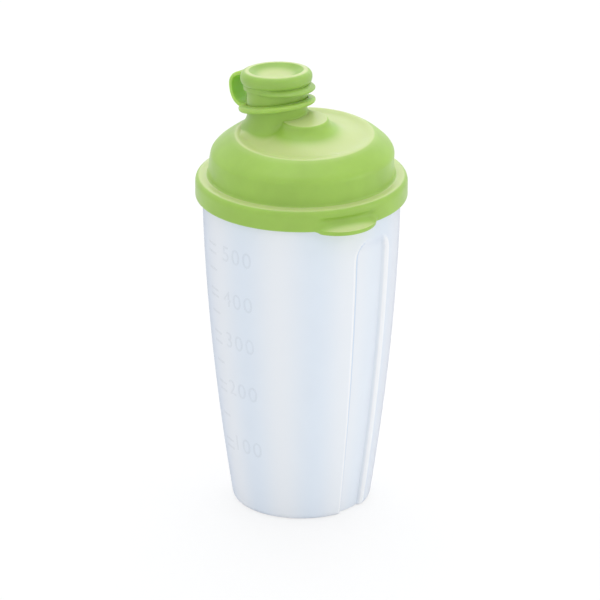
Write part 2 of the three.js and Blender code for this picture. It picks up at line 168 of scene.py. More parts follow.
class Finishes(bpy.types.PropertyGroup):
    """Colours of the pieces and the stage."""
    cup: colour("Cup", "Milky plastic of the cup", (0.795, 0.85, 0.915))
    # Painted light: paler upright bands painted round the cup where bright bands of light fall on its wall.
    bands: colour("Highlight bands", "Paler upright bands in the cup's plastic", (0.88, 0.9, 0.925))
    # Painted highlight on the grips' edges and floors, and painted shade in the corner at each grip's left
    # side.
    painted_grip_highlight: colour("Grip line", "Edges of the grips where they catch the light", (1, 1, 1))
    grip_shade: colour("Grip shade", "Corner between a grip's side and its floor", (0.7, 0.78, 0.89))
    marks: colour("Scale", "Raised numbers and marks", (0.5, 0.56, 0.64))
    lid: colour("Lid", "Green plastic of the lid", (0.33, 0.53, 0.08))
    tether: colour("Tether", "Soft green plastic of ring and strap", (0.39, 0.57, 0.125))
    cap: colour("Spout cap", "Soft green plastic of the spout cap", (0.305, 0.5, 0.085))
    # Painted sheen: a paler green painted on faces that look up, standing in for the sheen of light on them.
    painted_sheen: colour("Sheen green", "Paler green of the faces that look up", (0.55, 0.64, 0.26))
    floor: colour("Floor", "Pale floor", (0.9, 0.9, 0.9))


class ShakerSettings(bpy.types.PropertyGroup):
    """All settings of the shaker cup."""
    cup: bpy.props.PointerProperty(type=CupSizes, name="Cup", description="Sizes of the cup")
    lid: bpy.props.PointerProperty(type=LidSizes, name="Lid", description="Sizes of the lid")
    spout: bpy.props.PointerProperty(type=SpoutSizes, name="Spout", description="Sizes of the spout")
    sieve: bpy.props.PointerProperty(type=SieveSizes, name="Sieve", description="Sizes of the sieve")
    finish: bpy.props.PointerProperty(type=Finishes, name="Finish", description="Colours")


def curve(start, first, second, end, steps):
    """Points of a curve after its start, as radius and height."""
    knots = [Vector((point[0], point[1], 0)) for point in (start, first, second, end)]
    return [(point.x, point.y) for point in interpolate_bezier(*knots, steps + 1)][1:]


def bow(start, corner, end, steps):
    """Points of a curve that rounds a corner, after its start."""
    first = [a + (c - a) * 2 / 3 for a, c in zip(start, corner)]
    second = [b + (c - b) * 2 / 3 for b, c in zip(end, corner)]
    return curve(start, first, second, end, steps)


def straight(start, end, steps):
    """Evenly spaced points on a line, after its start."""
    return [tuple(a + (b - a) * i / steps for a, b in zip(start, end)) for i in range(1, steps + 1)]


def smooth_step(value, low, high):
    """Rises softly from 0 at low to 1 at high."""
    part = min(max((value - low) / (high - low), 0), 1)
    return part * part * (3 - 2 * part)


def draw_chain(name, places):
    """Row of corners, drawn by extruding one corner from place to place. Leaves edit mode on."""
    bpy.ops.object.select_all(action="DESELECT")
    bpy.ops.mesh.primitive_plane_add(size=0.001)
    piece = bpy.context.object
    piece.name = name
    piece.data.name = name
    bpy.ops.object.mode_set(mode="EDIT")
    bpy.ops.mesh.select_all(action="SELECT")
    bpy.ops.mesh.merge(type="CENTER")
    bpy.ops.transform.translate(value=places[0])
    for before, after in zip(places, places[1:]):
        step = tuple(b - a for a, b in zip(before, after))
        bpy.ops.mesh.extrude_region_move(TRANSFORM_OT_translate={"value": step})
    return piece


def clean_mesh():
    """Joins doubled corners and turns the faces outward, in edit mode."""
    bpy.ops.mesh.select_all(action="SELECT")
    bpy.ops.mesh.remove_doubles(threshold=1e-6)
    bpy.ops.mesh.normals_make_consistent(inside=False)
    bpy.ops.object.mode_set(mode="OBJECT")


def spin_outline(name, outline, segments):
    """Turned piece from an outline of radius and height."""
    piece = draw_chain(name, [(radius, 0, height) for radius, height in outline])
    bpy.ops.mesh.select_all(action="SELECT")
    bpy.ops.mesh.spin(steps=segments, angle=math.tau, center=(0, 0, 0), axis=(0, 0, 1))
    clean_mesh()
    return piece


def only(piece):
    """Makes one piece the selected and active one."""
    bpy.ops.object.select_all(action="DESELECT")
    piece.select_set(True)
    bpy.context.view_layer.objects.active = piece


def settle(piece, place):
    """Puts a piece into its place and leaves its object at the origin."""
    only(piece)
    piece.matrix_world = place
    bpy.ops.object.transform_apply(location=True, rotation=True, scale=True)


def combine(piece, tool, operation):
    """Joins a tool to a piece or cuts it out of the piece, and removes the tool."""
    only(piece)
    step = piece.modifiers.new("combine", "BOOLEAN")
    step.operation = operation
    step.solver = "EXACT"
    step.object = tool
    bpy.ops.object.modifier_apply(modifier=step.name)
    bpy.data.objects.remove(tool)


def join(pieces, name):
    """Joins pieces into the first of them."""
    bpy.ops.object.select_all(action="DESELECT")
    for piece in pieces:
        piece.select_set(True)
    bpy.context.view_layer.objects.active = pieces[0]
    bpy.ops.object.join()
    pieces[0].name = name
    return pieces[0]


def soften(piece, degrees):
    """Smooth shading that keeps edges sharper than an angle."""
    only(piece)
    bpy.ops.object.shade_smooth_by_angle(angle=math.radians(degrees))


def finish_piece(piece, material, body, slot, *nodes):
    """Gives a piece its material, its body and the nodes that it stands for."""
    piece.data.materials.clear()
    piece.data.materials.append(material)
    if nodes:
        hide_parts(*nodes)
    if body:
        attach(piece, body)


def noise(nodes, links, coords, scale, detail):
    """Noise pattern on the piece's own coordinates."""
    pattern = nodes.new("ShaderNodeTexNoise")
    pattern.inputs["Scale"].default_value = scale
    pattern.inputs["Detail"].default_value = detail
    links.new(coords.outputs["Object"], pattern.inputs["Vector"])
    return pattern


def spread(nodes, links, source, low, high):
    """Maps the middle of a pattern to a range."""
    ranged = nodes.new("ShaderNodeMapRange")
    ranged.inputs["From Min"].default_value = 0.3
    ranged.inputs["From Max"].default_value = 0.7
    ranged.inputs["To Min"].default_value = low
    ranged.inputs["To Max"].default_value = high
    links.new(source, ranged.inputs["Value"])
    return ranged.outputs["Result"]


def moulded_plastic(name, tint, shine, mottle=0.06, grain=0.03, grain_scale=2200):
    """Moulded plastic with cloudy colour, uneven shine and a fine grain. Returns material and shader."""
    material = bpy.data.materials.new(name)
    material.use_nodes = True
    nodes = material.node_tree.nodes
    links = material.node_tree.links
    shader = nodes["Principled BSDF"]
    coords = nodes.new("ShaderNodeTexCoord")
    cloud = noise(nodes, links, coords, 70, 3)
    tone = nodes.new("ShaderNodeMix")
    tone.data_type = "RGBA"
    tone.inputs["A"].default_value = (*[part * (1 - mottle) for part in tint], 1)
    tone.inputs["B"].default_value = (*[min(part * (1 + mottle), 1) for part in tint], 1)
    links.new(spread(nodes, links, cloud.outputs["Fac"], 0, 1), tone.inputs["Factor"])
    links.new(tone.outputs["Result"], shader.inputs["Base Color"])
    flow = noise(nodes, links, coords, 160, 2)
    uneven = spread(nodes, links, flow.outputs["Fac"], shine - 0.04, shine + 0.04)
    links.new(uneven, shader.inputs["Roughness"])
    fine = noise(nodes, links, coords, grain_scale, 2)
    bump = nodes.new("ShaderNodeBump")
    bump.inputs["Strength"].default_value = grain
    bump.inputs["Distance"].default_value = 0.0002
    links.new(fine.outputs["Fac"], bump.inputs["Height"])
    links.new(bump.outputs["Normal"], shader.inputs["Normal"])
    return material, shader


def blend(nodes, links, base, tint, factor):
    """Mixes a tint into a base colour. Returns the mixed colour."""
    mix = nodes.new("ShaderNodeMix")
    mix.data_type = "RGBA"
    mix.inputs["B"].default_value = (*tint, 1)
    links.new(base, mix.inputs["A"])
    links.new(factor, mix.inputs["Factor"])
    return mix.outputs["Result"]


def work_out(nodes, links, operation, source, *values):
    """One step of arithmetic on a source. Returns its result."""
    step = nodes.new("ShaderNodeMath")
    step.operation = operation
    links.new(source, step.inputs[0])
    for place, value in enumerate(values, 1):
        step.inputs[place].default_value = value
    return step.outputs[0]


def painted_light_bands(nodes, links, count=8, start=2.3):
    """Painted light: soft upright bands round the cup, from 0 to 1, that stand in for bright bands of light
    on its wall.
    """
    coords = nodes.new("ShaderNodeTexCoord")
    parts = nodes.new("ShaderNodeSeparateXYZ")
    links.new(coords.outputs["Object"], parts.inputs[0])
    angle = nodes.new("ShaderNodeMath")
    angle.operation = "ARCTAN2"
    links.new(parts.outputs["Y"], angle.inputs[0])
    links.new(parts.outputs["X"], angle.inputs[1])
    phase = work_out(nodes, links, "MULTIPLY_ADD", angle.outputs[0], count, start)
    wave = work_out(nodes, links, "COSINE", phase)
    return work_out(nodes, links, "MULTIPLY_ADD", wave, 0.5, 0.5)


def milky_plastic(name, finish):
    """Milky plastic of the cup, with painted light bands, a painted highlight on the edges and floors of the
    grips and painted shade in the corner at each grip's left side.
    """
    material, shader = moulded_plastic(name, finish.cup, 0.4, mottle=0.01, grain=0.01, grain_scale=200)
    nodes = material.node_tree.nodes
    links = material.node_tree.links
    # Painted highlight on the grips' edges and floors, painted shade in the corner at each grip's left side.
    edges = nodes.new("ShaderNodeAttribute")
    edges.attribute_name = "grip_edge"
    light = edges.outputs["Fac"]
    shade = work_out(nodes, links, "MULTIPLY", light, -1)
    tone = shader.inputs["Base Color"].links[0].from_socket
    tone = blend(nodes, links, tone, finish.bands, painted_light_bands(nodes, links))
    tone = blend(nodes, links, tone, finish.painted_grip_highlight, light)
    tone = blend(nodes, links, tone, finish.grip_shade, shade)
    links.new(tone, shader.inputs["Base Color"])
    shader.inputs["Specular IOR Level"].default_value = 0.25
    shader.inputs["Coat Weight"].default_value = 1
    shader.inputs["Coat IOR"].default_value = 1.01
    shader.inputs["Coat Tint"].default_value = (0.955, 0.958, 0.968, 1)
    shader.inputs["Subsurface Weight"].default_value = 0.3
    shader.inputs["Subsurface Radius"].default_value = (0.001, 0.001, 0.001)
    shader.inputs["Subsurface Scale"].default_value = 1
    return material


def painted_sheen_mask(nodes, links, slope):
    """Painted sheen: high on faces that look up, where the green is painted paler, down to zero at a slope.
    """
    coords = nodes.new("ShaderNodeTexCoord")
    parts = nodes.new("ShaderNodeSeparateXYZ")
    links.new(coords.outputs["Normal"], parts.inputs[0])
    ranged = nodes.new("ShaderNodeMapRange")
    ranged.interpolation_type = "SMOOTHSTEP"
    ranged.inputs["From Min"].default_value = math.cos(slope)
    ranged.inputs["From Max"].default_value = 1 - (1 - math.cos(slope)) * 0.1
    ranged.inputs["To Max"].default_value = 0.95
    links.new(parts.outputs["Z"], ranged.inputs["Value"])
    return ranged.outputs["Result"]


def satin_plastic(name, tint, painted_sheen, shine, depth=0.25, reach=1, slope=33):
    """Green plastic that lets a little light into its edges, with a painted sheen that makes faces that look
    up paler.
    """
    material, shader = moulded_plastic(name, tint, shine)
    shader.inputs["IOR"].default_value = 1.5
    shader.inputs["Subsurface Weight"].default_value = depth
    shader.inputs["Subsurface Radius"].default_value = (0.0012, 0.0018, 0.0004)
    shader.inputs["Subsurface Scale"].default_value = reach
    nodes = material.node_tree.nodes
    links = material.node_tree.links
    tone = shader.inputs["Base Color"].links[0].from_socket
    # Painted sheen: faces that look up are painted paler.
    tone = blend(nodes, links, tone, painted_sheen, painted_sheen_mask(nodes, links, math.radians(slope)))
    links.new(tone, shader.inputs["Base Color"])
    return material


def wall_radius(cup, height):
    """Outer radius of the cup's wall at a height."""
    climb = 1 - (1 - min(height / cup.height, 1)) ** cup.belly
    return cup.foot + (cup.mouth - cup.foot) * climb


def grip_depth(cup, angle, height):
    """Depth of the grips at an angle from -Y and a height."""
    side = abs(math.asin(math.sin(angle)))
    top = cup.grip_top + cup.grip_fade
    lift = max(height - (cup.grip_top - 3 * MM), 0) / (top - cup.grip_top + 3 * MM)
    half = cup.grip_half * math.sqrt(max(1 - lift * lift, 0)) if lift < 1 else 0
    across = 1 - smooth_step(side, half, half + cup.grip_edge)
    along = 1 - smooth_step(height, cup.grip_top, top)
    return cup.grip_depth * across * along


def grip_light(cup, angle, height):
    """Light on a grip: above 0 on its edges and floor, below 0 in the corner at its left side."""
    depth = grip_depth(cup, angle, height)
    left, right = [grip_depth(cup, angle + side * cup.grip_edge * 0.7, height) for side in (-1, 1)]
    bend = (left + right) / 2 - depth
    strength = 1
    if bend > 0:
        strength = 4
    elif right > left:
        strength = 9
    return (bend * strength + abs(right - left) * 0.3 + depth * 0.2) / cup.grip_depth


def place_on_wall(cup, angle, height, out):
    """Point on the cup's wall, out from its surface."""
    radius = wall_radius(cup, height) + out
    return Vector((radius * math.sin(angle), -radius * math.cos(angle), height))


def spout_place(spout, direction):
    """Frame of the spout: its Z runs up the neck from the ring, its Y along a direction."""
    place = Matrix.Translation((0, spout.offset, spout.level))
    place @= Matrix.Rotation(spout.lean_turn, 4, "Z")
    place @= Matrix.Rotation(-spout.lean, 4, "X")
    return place @ Matrix.Rotation(direction - spout.lean_turn, 4, "Z")


def dome_line(lid, inset):
    """Line of the dome from the middle of the boss to the foot of its shoulder, moved in by an inset."""
    boss = lid.ledge + lid.boss - inset
    crest = lid.ledge + lid.crest - inset
    shoulder = lid.ledge + lid.shoulder - inset * 0.4
    rim = lid.crest_radius - inset * 0.4
    wall = lid.dome - inset - lid.draft
    edge = lid.boss_radius
    hollow = crest - 0.6 * MM
    line = [(0, boss), (edge * 0.5, boss), (edge - 0.7 * MM, boss)]
    line += bow(line[-1], (edge + 0.1 * MM, boss), (edge + 0.4 * MM, boss - 0.8 * MM), 6)
    line += straight(line[-1], (edge + 0.7 * MM, boss - 1.5 * MM), 2)
    well = (rim - 4 * MM, hollow)
    line += curve(line[-1], (edge + 1.9 * MM, boss - 4.6 * MM), (rim - 10 * MM, hollow), well, 26)
    lip = (rim - 1.2 * MM, crest - 0.1 * MM)
    line += curve(line[-1], (rim - 2.5 * MM, hollow), lip, (rim, crest), 8)
    line += bow(line[-1], (rim + 0.9 * MM, crest), (rim + 1.7 * MM, crest - 0.45 * MM), 8)
    brim = (wall - 2 * MM, shoulder + 3.2 * MM)
    line += curve(line[-1], (rim + 3.3 * MM, crest - 1.3 * MM), (rim + 4.6 * MM, crest - 2 * MM), brim, 12)
    line += bow(line[-1], (wall, shoulder + 1.4 * MM), (wall, shoulder), 10)
    return line


def move_crest(lid, spot):
    """Point of the round dome, moved to where the tilted and shifted crest carries it."""
    part = smooth_step(spot.z - lid.ledge, lid.shoulder * 0.5, lid.crest)
    rise = Vector((math.sin(lid.crest_turn), -math.cos(lid.crest_turn), 0))
    across = Vector((-rise.y, rise.x, 0)) * -lid.crest_shift
    lift = lid.crest_lift + math.tan(lid.crest_tilt) * rise.dot(spot)
    return spot + (across + Vector((0, 0, lift))) * part


def line_height(line, radius):
    """Height of a line at a radius."""
    for (r0, z0), (r1, z1) in zip(line, line[1:]):
        if r0 <= radius <= r1 and r1 > r0:
            return z0 + (z1 - z0) * (radius - r0) / (r1 - r0)
    return line[-1][1]


def dome_height(lid, line, spot):
    """Height of the dome above or below a spot."""
    before = Vector((spot.x, spot.y, 0))
    for _ in range(5):
        before.z = line_height(line, math.hypot(before.x, before.y))
        after = move_crest(lid, before)
        before.x += spot.x - after.x
        before.y += spot.y - after.y
    return after.z


class SHAKER_OT_cup(bpy.types.Operator):
    """Models the tapered cup with its two grips and rim bead"""
    bl_idname = "shaker.cup"
    bl_label = "Cup"

    def execute(self, context):
        settings = context.scene.shaker
        cup = settings.cup
        under = cup.height - 2.4 * MM
        piece = spin_outline("cup_wall", self.outline(cup, under), 480)
        self.press_grips(piece, cup, under)
        # grip_edge holds painted light: a painted highlight on the grips' edges and floors and painted shade
        # in the corner at each grip's left side.
        edges = piece.data.attributes.new("grip_edge", "FLOAT", "POINT")
        for vertex, edge in zip(piece.data.vertices, edges.data):
            angle = math.atan2(vertex.co.x, -vertex.co.y)
            edge.value = grip_light(cup, angle, vertex.co.z)
        soften(piece, 50)
        material = milky_plastic("milky_cup_plastic", settings.finish)
        finish_piece(piece, material, "cup", "clear_plastic", "cup")
        return {"FINISHED"}

    def outline(self, cup, under):
        """Section of the cup without grips. The rim bead's lower side is at a height."""
        foot = cup.foot - cup.foot_round * 0.8
        bead = cup.mouth + cup.bead
        inner = cup.mouth - cup.wall
        low = cup.foot_round
        arch = cup.grip_top - 6.4 * MM
        heights = [low + (arch - low) * i / 40 for i in range(41)]
        heights += [arch + 1.1 * MM * (i + 1) for i in range(13)]
        line = [(0, 0), (foot * 0.5, 0), (foot - 2 * MM, 0), (foot, 0)]
        line += bow(line[-1], (cup.foot, 0), (wall_radius(cup, low), low), 7)[:-1]
        line += [(wall_radius(cup, height), height) for height in heights]
        line += [(wall_radius(cup, under - cup.bead), under - cup.bead), (bead, under)]
        line += [(bead, cup.height - 0.6 * MM), (bead - 0.6 * MM, cup.height)]
        line += [(inner + 0.3 * MM, cup.height), (inner, cup.height - 0.6 * MM)]
        within = [height for height in reversed(heights) if height > cup.floor + 3 * MM]
        line += [(wall_radius(cup, height) - cup.wall, height) for height in within]
        corner = (wall_radius(cup, cup.floor) - cup.wall, cup.floor)
        line += bow(line[-1], corner, (corner[0] - 4 * MM, cup.floor), 5)
        return line + [(corner[0] * 0.5, cup.floor), (0, cup.floor)]

    def press_grips(self, piece, cup, under):
        """Presses both faces of the wall in at the grips, below the rim bead."""
        within = (cup.foot - cup.foot_round * 0.8) * 0.6
        for vertex in piece.data.vertices:
            place = vertex.co
            radius = math.hypot(place.x, place.y)
            if radius < within or place.z > under - cup.bead - 0.1 * MM:
                continue
            wall = wall_radius(cup, place.z)
            limit = wall - grip_depth(cup, math.atan2(place.x, -place.y), place.z)
            if radius <= wall - cup.wall / 2:
                limit -= cup.wall
            if radius > limit:
                place.x *= limit / radius
                place.y *= limit / radius


class SHAKER_OT_scale(bpy.types.Operator):
    """Models the raised numbers and marks of the scale"""
    bl_idname = "shaker.scale"
    bl_label = "Scale"

    NUMBERS = (("500", 123.4), ("400", 102.4), ("300", 82.5), ("200", 59.4), ("100", 32.2))
    MARKS = (125.5, 121.5, 113.8, 104.2, 101.2, 93.5, 83.8, 79.2, 70, 59.8, 56.2, 44.5, 32, 28.4)

    def execute(self, context):
        settings = context.scene.shaker
        cup = settings.cup
        material, shader = moulded_plastic("raised_scale_plastic", settings.finish.marks, 0.6)
        shader.inputs["Alpha"].default_value = 0.075
        numbers = [self.number(cup, text, height * MM) for text, height in self.NUMBERS]
        marks = [self.mark(cup, height * MM) for height in self.MARKS]
        for pieces, name in ((numbers, "scale_numbers"), (marks, "scale_marks")):
            piece = join(pieces, name)
            soften(piece, 40)
            finish_piece(piece, material, "cup", "clear_plastic")
        return {"FINISHED"}

    def number(self, cup, text, height):
        """Raised number, wrapped on the wall."""
        bpy.ops.object.select_all(action="DESELECT")
        bpy.ops.object.text_add()
        words = bpy.context.object
        words.data.body = text
        words.data.size = cup.digit / 0.7
        words.data.align_x = "CENTER"
        words.data.align_y = "CENTER"
        words.data.space_character = 1.18
        words.data.extrude = cup.relief / 2
        words.data.resolution_u = 4
        bpy.ops.object.convert(target="MESH")
        piece = bpy.context.object
        for vertex in piece.data.vertices:
            across, along, out = vertex.co
            angle = cup.scale_turn - 0.05 * (1 - height / cup.height) + across / wall_radius(cup, height)
            vertex.co = place_on_wall(cup, angle, height + along, out + cup.relief * 0.3)
        return piece

    def mark(self, cup, height):
        """Short raised bar, wrapped on the wall."""
        bpy.ops.object.select_all(action="DESELECT")
        bpy.ops.mesh.primitive_cube_add(size=1, scale=(6.6 * MM, 1 * MM, cup.relief))
        piece = bpy.context.object
        bpy.ops.object.transform_apply(scale=True)
        bpy.ops.object.mode_set(mode="EDIT")
        bpy.ops.mesh.select_all(action="SELECT")
        bpy.ops.mesh.subdivide(number_cuts=6)
        bpy.ops.object.mode_set(mode="OBJECT")
        for vertex in piece.data.vertices:
            across, along, out = vertex.co
            angle = cup.mark_turn + across / wall_radius(cup, height)
            vertex.co = place_on_wall(cup, angle, height + along, out + cup.relief * 0.3)
        return piece


class SHAKER_OT_lid(bpy.types.Operator):
    """Models the lid: skirt with thumb tab, ledge, dome, boss and spout neck"""
    bl_idname = "shaker.lid"
    bl_label = "Lid"

    def execute(self, context):
        settings = context.scene.shaker
        lid = settings.lid
        spout = settings.spout
        piece = spin_outline("lid_shell", self.outline(lid), 240)
        for vertex in piece.data.vertices:
            vertex.co = move_crest(lid, vertex.co)
        self.pull_tab(piece, lid)
        combine(piece, self.neck(lid, spout), "UNION")
        combine(piece, self.bore(spout), "DIFFERENCE")
        soften(piece, 40)
        material = satin_plastic("satin_lid_plastic", settings.finish.lid, settings.finish.painted_sheen, 0.34)
        finish_piece(piece, material, "lid", "green_plastic", "lid", "spout_neck")
        return {"FINISHED"}

    def outline(self, lid):
        """Section of the lid without tab and spout."""
        base = lid.skirt_bottom
        skirt = lid.skirt_inner + lid.wall
        dome = lid.dome
        seat = lid.ledge - lid.wall
        inside = lid.plug - lid.wall
        line = dome_line(lid, 0)
        line += straight(line[-1], (dome, lid.ledge + 1.4 * MM), 6)
        line += bow(line[-1], (dome, lid.ledge), (dome + 1.4 * MM, lid.ledge), 6)
        line += [(skirt - lid.ledge_round, lid.ledge)]
        line += bow(line[-1], (skirt, lid.ledge), (skirt, lid.ledge - lid.ledge_round), 10)
        line += straight(line[-1], (skirt, base + 1 * MM), 22)
        line += bow(line[-1], (skirt, base), (skirt - 1 * MM, base), 6)
        line += [(lid.skirt_inner, base), (lid.skirt_inner, seat)]
        line += [(lid.plug, seat), (lid.plug, base + 1 * MM)]
        line += [(lid.plug - 0.5 * MM, base), (inside, base), (inside, seat)]
        return line + list(reversed(dome_line(lid, lid.wall)))

    def pull_tab(self, piece, lid):
        """Pulls the skirt's lower edge out into the scooped thumb tab."""
        skirt = lid.skirt_inner + lid.wall
        centre = skirt + lid.tab_reach - lid.tab_radius
        edge_top = lid.skirt_bottom + lid.tab_edge
        for vertex in piece.data.vertices:
            place = vertex.co
            radius = math.hypot(place.x, place.y)
            if radius < lid.skirt_inner + 0.2 * MM or place.z > edge_top + lid.tab_scoop:
                continue
            off = math.atan2(place.x, -place.y) - lid.tab_turn
            chord = lid.tab_radius ** 2 - (centre * math.sin(off)) ** 2
            if chord <= 0 or math.cos(off) <= 0:
                continue
            reach = centre * math.cos(off) + math.sqrt(chord) - skirt
            if reach <= 0:
                continue
            rise = min(max((place.z - edge_top) / lid.tab_scoop, 0), 1)
            hold = 1 - math.sqrt(1 - (1 - rise) ** 2)
            dent = lid.tab_dent * math.sin(math.pi * rise) * smooth_step(reach, 0, 3 * MM)
            scale = (radius + reach * hold - dent) / radius
            place.x *= scale
            place.y *= scale
            place.z -= lid.tab_drop * hold * smooth_step(reach, 0, 2 * MM)

    def neck(self, lid, spout):
        """Neck whose foot runs out softly on the dome, and stays sharp at the boss."""
        rows = 14
        sharp = 0.8 * MM
        top = spout.neck_top
        foot = -20 * MM
        outline = [(0, top), (spout.neck - 2 * MM, top), (spout.neck - 0.5 * MM, top)]
        outline += bow(outline[-1], (spout.neck, top), (spout.neck, top - 0.5 * MM), 4)
        outline += straight(outline[-1], (spout.neck, 0), 4)
        outline += [(spout.neck, foot - i * MM) for i in range(rows + 1)]
        outline += [(spout.neck * (1 - i / 4), foot - (rows + 2) * MM) for i in range(5)]
        piece = spin_outline("neck", outline, 180)
        line = dome_line(lid, 0)
        place = spout_place(spout, 0)
        up = (place.to_3x3() @ Vector((0, 0, 1))).normalized()
        for vertex in piece.data.vertices:
            local = vertex.co.copy()
            if local.z > foot + 1e-6:
                continue
            row = round((foot - local.z) / MM)
            flat = Vector((local.x, local.y, 0))
            if row > rows:
                spot = place @ (flat * 1.05)
                spot.z = dome_height(lid, line, spot) - lid.wall * 0.5
                vertex.co = place.inverted() @ spot
                continue
            meet = self.meeting(lid, line, place @ flat, up)
            side = (place.to_3x3() @ flat).normalized()
            side.z = 0
            turned = math.atan2(side.x, -side.y)
            away = smooth_step(abs(turned), 0.6, 1.3)
            start = meet + up * (sharp + (spout.fillet - sharp) * away)
            end = meet + side * (sharp + (spout.apron - sharp) * away)
            end.z = dome_height(lid, line, end) - 0.02 * MM
            part = row / rows
            spot = start * (1 - part) ** 2 + meet * 2 * part * (1 - part) + end * part ** 2
            vertex.co = place.inverted() @ spot
        settle(piece, place)
        return piece

    def meeting(self, lid, line, spot, up):
        """Point where a line along the neck meets the dome."""
        low, high = -20 * MM, 10 * MM
        for _ in range(40):
            middle = (low + high) / 2
            point = spot + up * middle
            if point.z > dome_height(lid, line, point):
                high = middle
            else:
                low = middle
        return spot + up * low

    def bore(self, spout):
        """Core that leaves the bore and eases its upper edge."""
        top = spout.neck_top
        outline = [(0, -30 * MM), (spout.bore, -30 * MM), (spout.bore, top - 0.5 * MM)]
        outline += [(spout.bore + 0.5 * MM, top), (spout.bore + 0.5 * MM, top + 2 * MM), (0, top + 2 * MM)]
        piece = spin_outline("bore", outline, 128)
        settle(piece, spout_place(spout, 0))
        return piece


class SHAKER_OT_sieve(bpy.types.Operator):
    """Models the perforated mixing sieve under the lid"""
    bl_idname = "shaker.sieve"
    bl_label = "Mixing sieve"

    def execute(self, context):
        settings = context.scene.shaker
        sieve = settings.sieve
        top = sieve.bottom + sieve.height
        within = sieve.radius - sieve.wall
        outline = [(0, sieve.bottom), (sieve.radius - 0.6 * MM, sieve.bottom)]
        outline += bow(outline[-1], (sieve.radius, sieve.bottom), (sieve.radius, sieve.bottom + 0.6 * MM), 3)
        outline += [(sieve.radius, top - 0.4 * MM), (sieve.radius - 0.4 * MM, top), (within + 0.3 * MM, top)]
        outline += [(within, top - 0.3 * MM), (within, sieve.bottom + sieve.floor)]
        outline += [(0, sieve.bottom + sieve.floor)]
        piece = spin_outline("sieve_plate", outline, 128)
        combine(piece, self.pins(sieve, within), "DIFFERENCE")
        soften(piece, 35)
        material = satin_plastic("satin_sieve_plastic", settings.finish.lid, settings.finish.painted_sheen, 0.45)
        finish_piece(piece, material, "sieve", "green_plastic", "mixing_sieve")
        return {"FINISHED"}

    def pins(self, sieve, within):
        """Pins that leave the holes."""
        pitch = within / 3.5
        pins = []
        bpy.ops.object.select_all(action="DESELECT")
        for ring in range(1, 4):
            for i in range(ring * 6):
                angle = math.tau * i / (ring * 6)
                spot = (math.cos(angle) * ring * pitch, math.sin(angle) * ring * pitch, sieve.bottom)
                bpy.ops.mesh.primitive_cylinder_add(
                    vertices=20, radius=sieve.hole, depth=8 * MM, location=spot)
                pins.append(bpy.context.object)
        for pin in pins:
            pin.select_set(True)
        bpy.ops.object.join()
        return bpy.context.object


class SHAKER_OT_tether(bpy.types.Operator):
    """Models the loose ring and the flexible strap of the spout cap"""
    bl_idname = "shaker.tether"
    bl_label = "Tether"

    def execute(self, context):
        settings = context.scene.shaker
        spout = settings.spout
        finish = settings.finish
        material = satin_plastic("soft_tether_plastic", finish.tether, finish.painted_sheen, 0.42, 0.8, 2.5, 6)
        outer = spout.ring_inner + spout.ring_width
        low = -outer * math.tan(spout.ring_tilt)
        high = spout.cap_bottom + spout.cap_height * 0.45
        place = spout_place(spout, spout.tether_turn)
        ring = self.ring(spout, outer)
        settle(ring, place)
        soften(ring, 45)
        finish_piece(ring, material, "tether", "soft_green_plastic", "tether_ring")
        strap = self.strap(spout, self.strap_path(spout, outer, low, high))
        settle(strap, place)
        soften(strap, 50)
        finish_piece(strap, material, None, "soft_green_plastic", "tether_strap")
        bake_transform(strap)
        return {"FINISHED"}

    def ring(self, spout, outer):
        """Ring with a rounded rim and a flat underside, hanging down at the strap."""
        half = spout.ring_height / 2
        inner = spout.ring_inner
        flank = inner + spout.ring_width * 0.4
        rim = 1.1 * MM
        outline = [(inner, 0.3 * MM - rim), (inner + 0.3 * MM, -rim), (flank, -rim)]
        outline += [(outer - 0.6 * MM, -rim)]
        outline += bow(outline[-1], (outer, -0.8 * MM), (outer, 0), 5)
        outline += bow(outline[-1], (outer, 0.8 * MM), (outer - 0.6 * MM, rim), 5)
        outline += [(flank, half), (inner + 0.3 * MM, half), (inner, half - 0.3 * MM), outline[0]]
        piece = spin_outline("tether_loop", outline, 160)
        hang = Matrix.Identity(4)
        hang[2][1] = -math.tan(spout.ring_tilt)
        piece.data.transform(hang)
        return piece

    def strap_path(self, spout, outer, low, high):
        """Line of the strap from the ring up to the cap, as reach and height."""
        peak = low + (high - low) * spout.strap_peak
        reach = outer + spout.strap_bulge + 0.3 * MM - spout.strap_thickness / 2
        below = (peak - low) * 0.55
        above = (high - peak) * 0.55
        path = [(outer - 1.6 * MM, low)]
        path += curve(path[-1], (reach - 2.4 * MM, low), (reach, peak - below), (reach, peak), 16)
        at_cap = (spout.cap - 1.2 * MM, high)
        path += curve(path[-1], (reach, peak + above), (reach - 2.8 * MM, high), at_cap, 16)
        return path

    def strap(self, spout, path):
        """Band with rounded edges along a path."""
        piece = draw_chain("tether_band", [(-spout.strap_width / 2, y, z) for y, z in path])
        bpy.ops.mesh.select_all(action="SELECT")
        strips = 8
        for _ in range(strips):
            bpy.ops.mesh.extrude_region_move(
                TRANSFORM_OT_translate={"value": (spout.strap_width / strips, 0, 0)})
        clean_mesh()
        only(piece)
        thick = piece.modifiers.new("thickness", "SOLIDIFY")
        thick.thickness = spout.strap_thickness
        thick.offset = 0
        bpy.ops.object.modifier_apply(modifier=thick.name)
        rounding = piece.modifiers.new("rounding", "BEVEL")
        rounding.width = 0.5 * MM
        rounding.segments = 4
        rounding.limit_method = "ANGLE"
        rounding.angle_limit = math.radians(50)
        bpy.ops.object.modifier_apply(modifier=rounding.name)
        return piece


